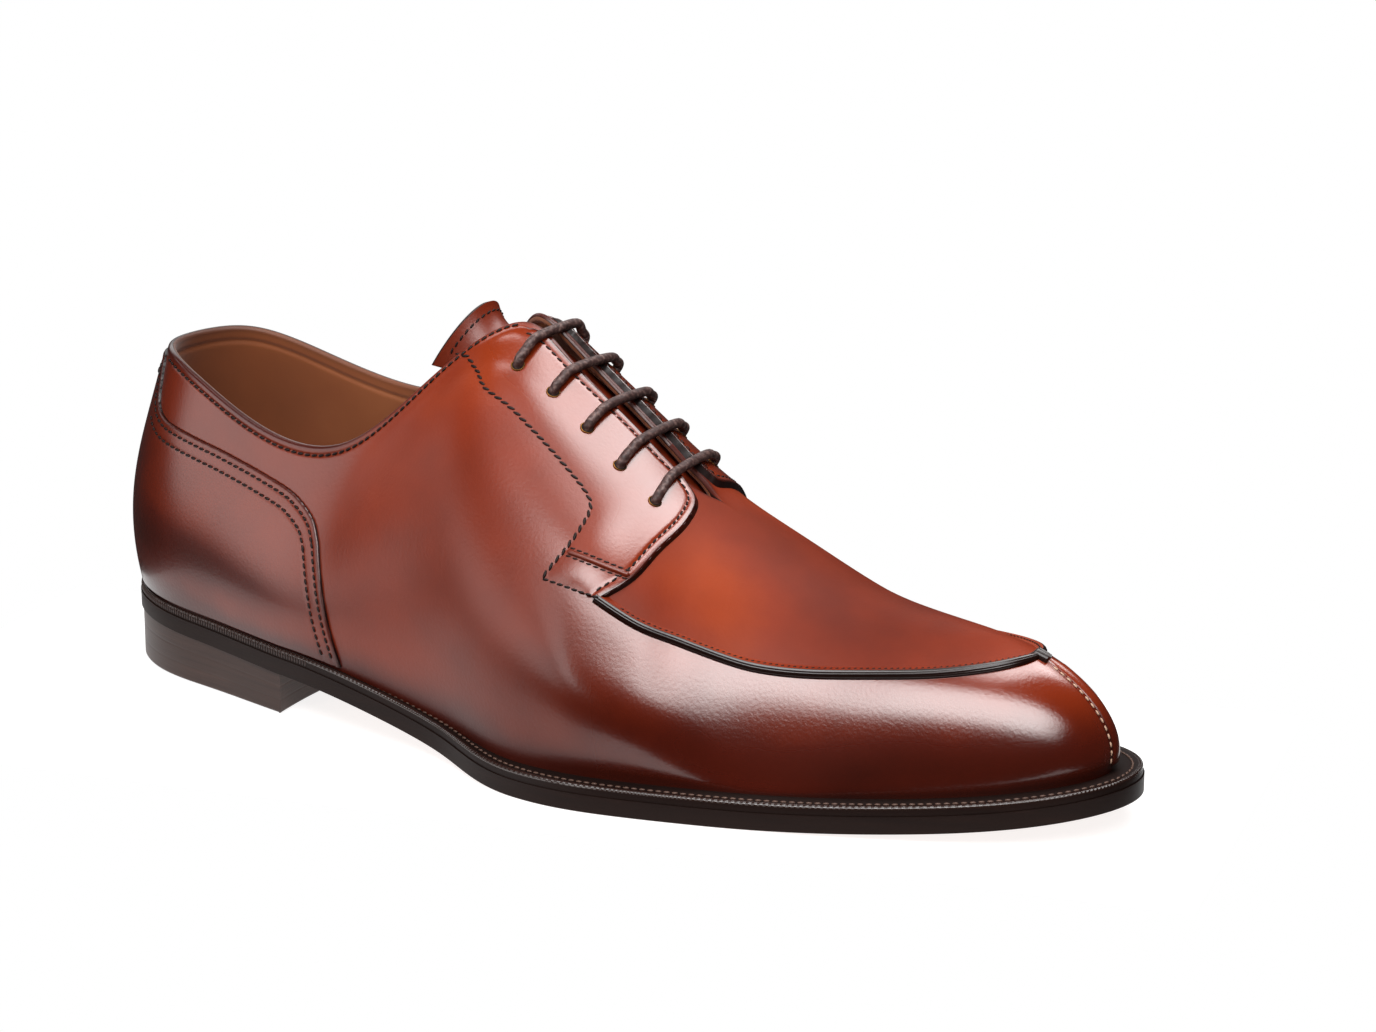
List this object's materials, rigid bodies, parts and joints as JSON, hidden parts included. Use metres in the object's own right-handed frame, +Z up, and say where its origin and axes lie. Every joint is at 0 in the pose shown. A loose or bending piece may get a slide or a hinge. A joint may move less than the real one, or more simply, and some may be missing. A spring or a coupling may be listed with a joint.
{
  "type": "laced split-toe apron derby shoe",
  "caption": "Right laced derby shoe, standing empty on its sole: raised apron seam, split toe, hollow upper open at collar and throat, tongue, welted leather sole and low stacked heel.",
  "frame": {"origin": "centre of the bounding box on the floor, under the standing shoe", "axes": "+X towards the toe, +Y towards the inner (medial) side of this right shoe, +Z up"},
  "size_m": [0.306, 0.1047, 0.1117],
  "materials": {
    "edge_leather": "dark brown waxed leather edge, half gloss",
    "heel_leather": "dark brown stacked leather, burnished",
    "lining_leather": "mid brown lining leather, matt",
    "chestnut_calf": "burnished chestnut calf, polished",
    "facing_calf": "burnished chestnut calf, polished",
    "tongue_calf": "chestnut calf, half gloss",
    "seam_calf": "dark brown raised seam, half gloss",
    "waxed_lace": "dark brown waxed round lace, matt"
  },
  "bodies": {
    "root": {"outsole": "edge_leather", "welt": "edge_leather", "heel": "heel_leather", "insole": "lining_leather", "upper": "chestnut_calf", "tongue": "tongue_calf", "facing_outer": "facing_calf", "facing_inner": "facing_calf", "heel_counter": "chestnut_calf", "apron_seam": "seam_calf", "toe_seam": "chestnut_calf", "lace_bar_1": "waxed_lace", "lace_bar_2": "waxed_lace", "lace_bar_3": "waxed_lace", "lace_bar_4": "waxed_lace", "lace_bar_5": "waxed_lace"}
  },
  "joints": []
}
